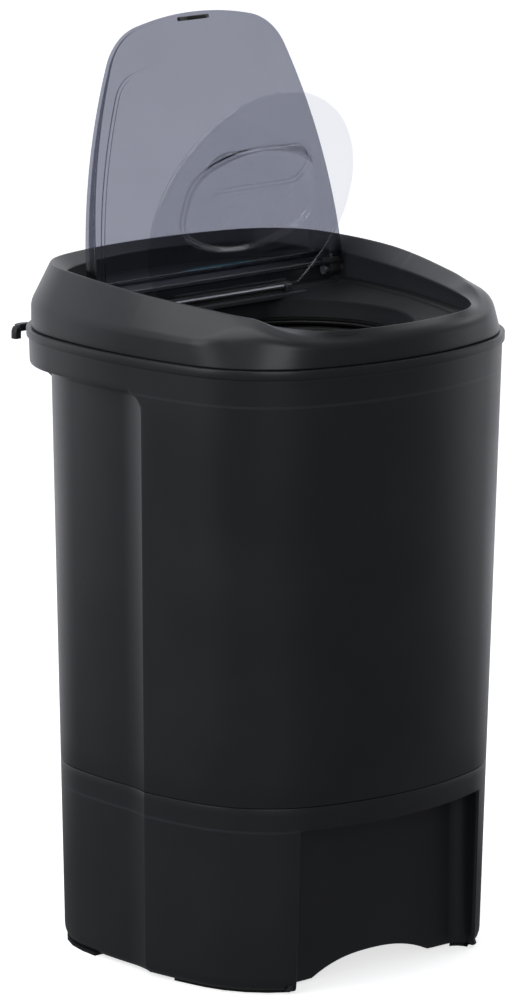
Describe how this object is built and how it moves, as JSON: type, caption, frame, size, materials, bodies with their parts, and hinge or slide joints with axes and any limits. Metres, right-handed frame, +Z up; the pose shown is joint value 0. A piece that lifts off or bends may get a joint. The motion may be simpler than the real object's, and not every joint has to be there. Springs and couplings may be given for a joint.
{
  "type": "spin dryer",
  "caption": "Portable upright spin dryer for laundry: rounded black cabinet, hinged smoked lid over a clear inner lid, spin drum, drain spout in the base bay.",
  "frame": {"origin": "on the floor, under the middle of the whole object's bounding box with both lids open", "axes": "+Z up, -Y towards the front with the basin bay, +X to the right seen from the front"},
  "size_m": [0.4164, 0.463, 0.9326],
  "materials": {
    "cabinet_plastic": "fine moulded grain, satin charcoal black",
    "inner_plastic": "moulded, satin black",
    "drum_plastic": "moulded, satin black",
    "smoked_lid": "polished, smoke tinted, see-through",
    "clear_lid": "polished, clear",
    "accent": "printed satin teal",
    "rubber": "dull black",
    "steel": "zinc plated",
    "cast_metal": "as cast",
    "motor_paint": "grey enamel",
    "motor_core": "varnished laminations",
    "white_plastic": "natural moulded plastic"
  },
  "bodies": {
    "cabinet": {"base_shell": "cabinet_plastic", "body_shell": "cabinet_plastic", "top_cover": "cabinet_plastic", "base_floor": "inner_plastic", "foot_front_left": "rubber", "foot_front_right": "rubber", "foot_rear_left": "rubber", "foot_rear_right": "rubber", "deck_accent": "accent", "lid_pin_left": "steel", "lid_pin_right": "steel", "inner_lid_rod": "steel", "interlock_housing": "inner_plastic", "tub": "inner_plastic", "tub_ring": "inner_plastic", "tub_gasket": "rubber", "shaft_seal": "rubber", "bearing_upper": "steel", "bearing_lower": "steel", "bearing_housing": "cast_metal", "support_plate": "steel", "motor_housing": "motor_paint", "motor_cap": "cast_metal", "motor_stator": "motor_core", "brake_pivot": "steel", "capacitor": "white_plastic", "capacitor_clip": "steel", "drain_spout": "inner_plastic", "drain_hose": "rubber", "cord_gland": "rubber", "cord_hook_left": "cabinet_plastic", "cord_hook_right": "cabinet_plastic", "motor_post_1": "steel", "mount_rubber_1": "rubber", "mount_spring_1": "steel", "motor_post_2": "steel", "mount_rubber_2": "rubber", "mount_spring_2": "steel", "motor_post_3": "steel", "mount_rubber_3": "rubber", "mount_spring_3": "steel"},
    "outer_lid": {"outer_lid": "smoked_lid", "lid_striker": "inner_plastic"},
    "inner_lid": {"inner_lid": "clear_lid"},
    "spin": {"drum": "drum_plastic", "balance_ring": "drum_plastic", "drum_hub": "cast_metal", "hub_nut": "steel", "drive_shaft": "steel", "motor_rotor": "motor_core", "brake_drum": "cast_metal"},
    "plunger": {"interlock_plunger": "white_plastic"},
    "brake": {"brake_lever": "steel", "brake_pad": "rubber"}
  },
  "joints": [
    {"name": "outer_lid_hinge", "type": "hinge", "parent": "cabinet", "child": "outer_lid", "pos_m": [0, 0.0615, 0.6587], "axis": [1, 0, 0], "range_deg": [0, 99]},
    {"name": "inner_lid_hinge", "type": "hinge", "parent": "cabinet", "child": "inner_lid", "pos_m": [0, 0.0465, 0.652], "axis": [1, 0, 0], "range_deg": [0, 70.1]},
    {"name": "drum_spin", "type": "hinge", "parent": "cabinet", "child": "spin", "pos_m": [0, -0.0585, 0.4], "axis": [0, 0, 1], "continuous": true},
    {"name": "interlock_press", "type": "slide", "parent": "cabinet", "child": "plunger", "axis": [0, 0, -1], "range_m": [0, 0.00401]},
    {"name": "brake_release", "type": "hinge", "parent": "cabinet", "child": "brake", "pos_m": [-0.048, -0.1285, 0.144], "axis": [0, 0, 1], "range_deg": [0, 5.01]}
  ],
  "couplings": [
    {"joint": "inner_lid_hinge", "follows": "outer_lid_hinge", "ratio": 0.70707},
    {"joint": "interlock_press", "follows": "outer_lid_hinge", "m_per_rad": 0.002315},
    {"joint": "brake_release", "follows": "outer_lid_hinge", "ratio": 0.050505}
  ]
}
